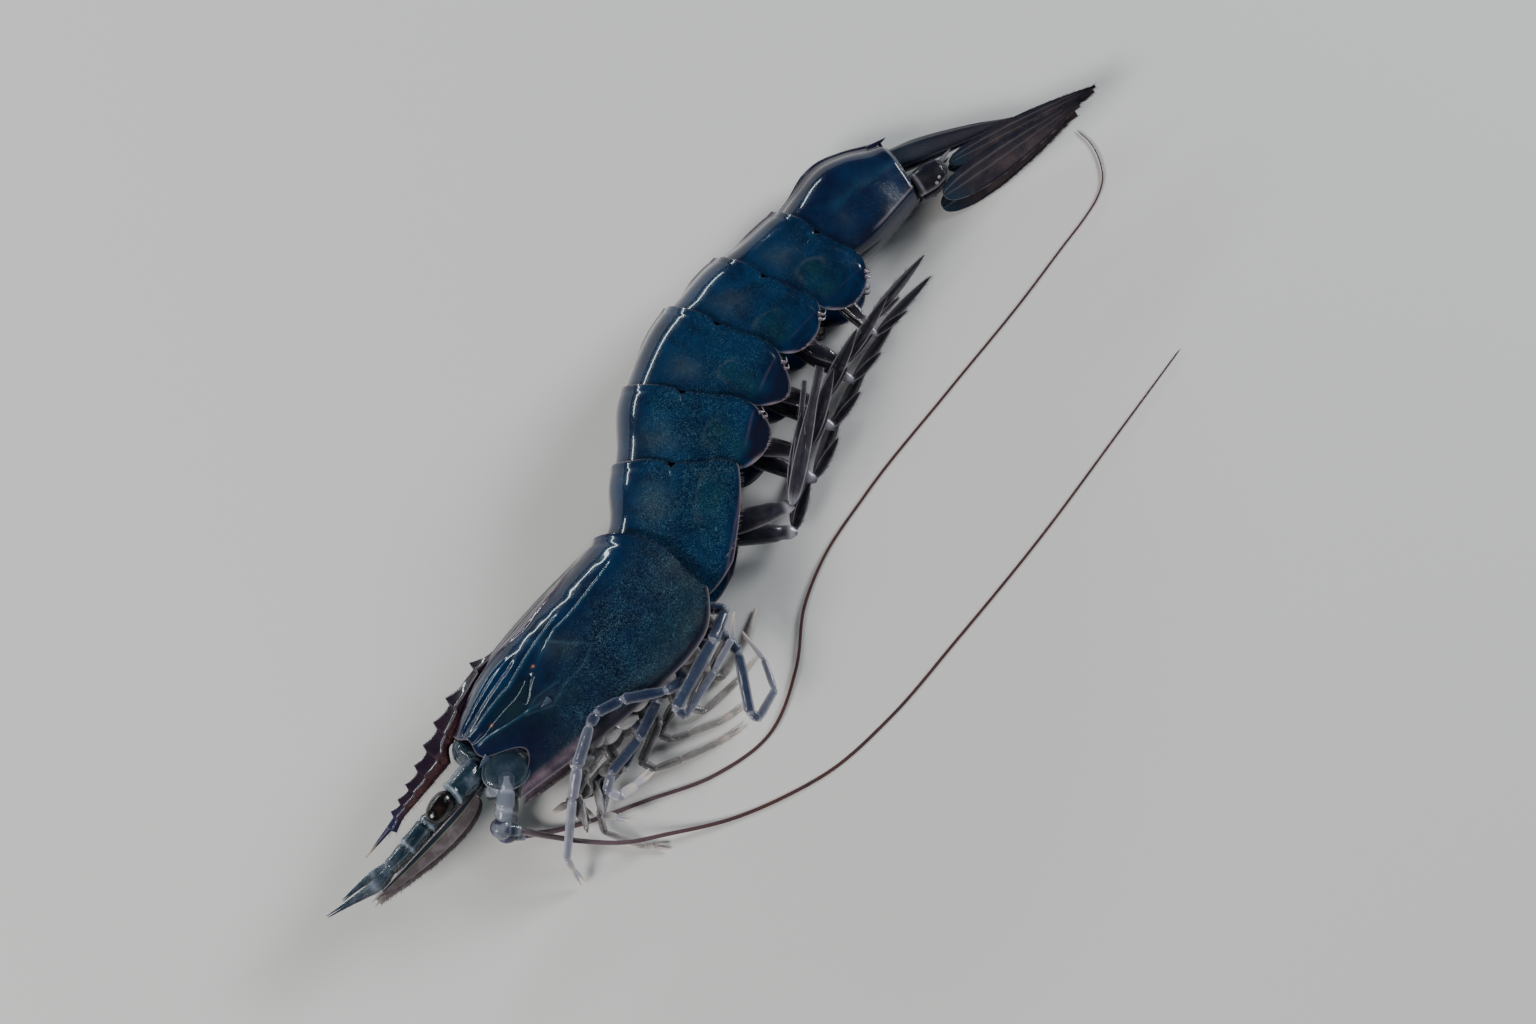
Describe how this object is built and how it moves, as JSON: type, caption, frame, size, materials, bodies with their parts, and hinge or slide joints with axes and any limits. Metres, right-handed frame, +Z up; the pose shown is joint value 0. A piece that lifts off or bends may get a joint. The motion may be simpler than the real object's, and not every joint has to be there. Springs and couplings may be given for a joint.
{
  "type": "blue shrimp model",
  "caption": "Life-size still model of a blue shrimp lying on its right side, with long feelers, bent legs, swimming legs and a folded tail fan.",
  "frame": {"origin": "on the floor under the middle of the model's bounding box", "axes": "+X towards the head, -Y towards the animal's back, +Z up and towards its left side"},
  "size_m": [0.1746, 0.0676, 0.0178],
  "materials": {
    "shell": "wet glossy navy-blue shell with fine lighter speckle",
    "thorax": "grey translucent flesh",
    "rostrum": "dark purple-brown horn, ivory tip",
    "eye": "black-brown glossy cornea",
    "stalk": "translucent grey-teal shell",
    "scale": "brown-grey leaf with a dark blue-green rim",
    "feeler": "dark reddish-brown whip",
    "leg": "translucent pale lilac with a deep-blue core",
    "swimmeret": "translucent blue-grey leaf with pale edges",
    "tail": "very dark brown-navy blades with lighter ridges"
  },
  "bodies": {
    "root": {"carapace": "shell", "abdomen_1": "shell", "abdomen_2": "shell", "abdomen_3": "shell", "abdomen_4": "shell", "abdomen_5": "shell", "abdomen_6": "shell", "thorax": "thorax", "rostrum": "rostrum", "eye_L": "eye", "eye_R": "eye", "eyestalk_L": "stalk", "eyestalk_R": "stalk", "antennule_L": "stalk", "antennule_R": "stalk", "antenna_base_L": "stalk", "antenna_base_R": "stalk", "antennal_scale_L": "scale", "antennal_scale_R": "scale", "antenna_L_1": "feeler", "antenna_L_2": "feeler", "antenna_L_3": "feeler", "antenna_L_4": "feeler", "antenna_R_1": "feeler", "antenna_R_2": "feeler", "antenna_R_3": "feeler", "antenna_R_4": "feeler", "leg_1_L": "leg", "leg_1_R": "leg", "leg_2_L": "leg", "leg_2_R": "leg", "leg_3_L": "leg", "leg_3_R": "leg", "leg_4_L": "leg", "leg_4_R": "leg", "leg_5_L": "leg", "leg_5_R": "leg", "maxilliped_L": "leg", "maxilliped_R": "leg", "pleopod_1_L": "swimmeret", "pleopod_1_R": "swimmeret", "pleopod_2_L": "swimmeret", "pleopod_2_R": "swimmeret", "pleopod_3_L": "swimmeret", "pleopod_3_R": "swimmeret", "pleopod_4_L": "swimmeret", "pleopod_4_R": "swimmeret", "pleopod_5_L": "swimmeret", "pleopod_5_R": "swimmeret", "telson": "tail", "uropod_base_L": "tail", "uropod_base_R": "tail", "uropod_endopod_L": "tail", "uropod_endopod_R": "tail", "uropod_exopod_L": "tail", "uropod_exopod_R": "tail"}
  },
  "joints": []
}
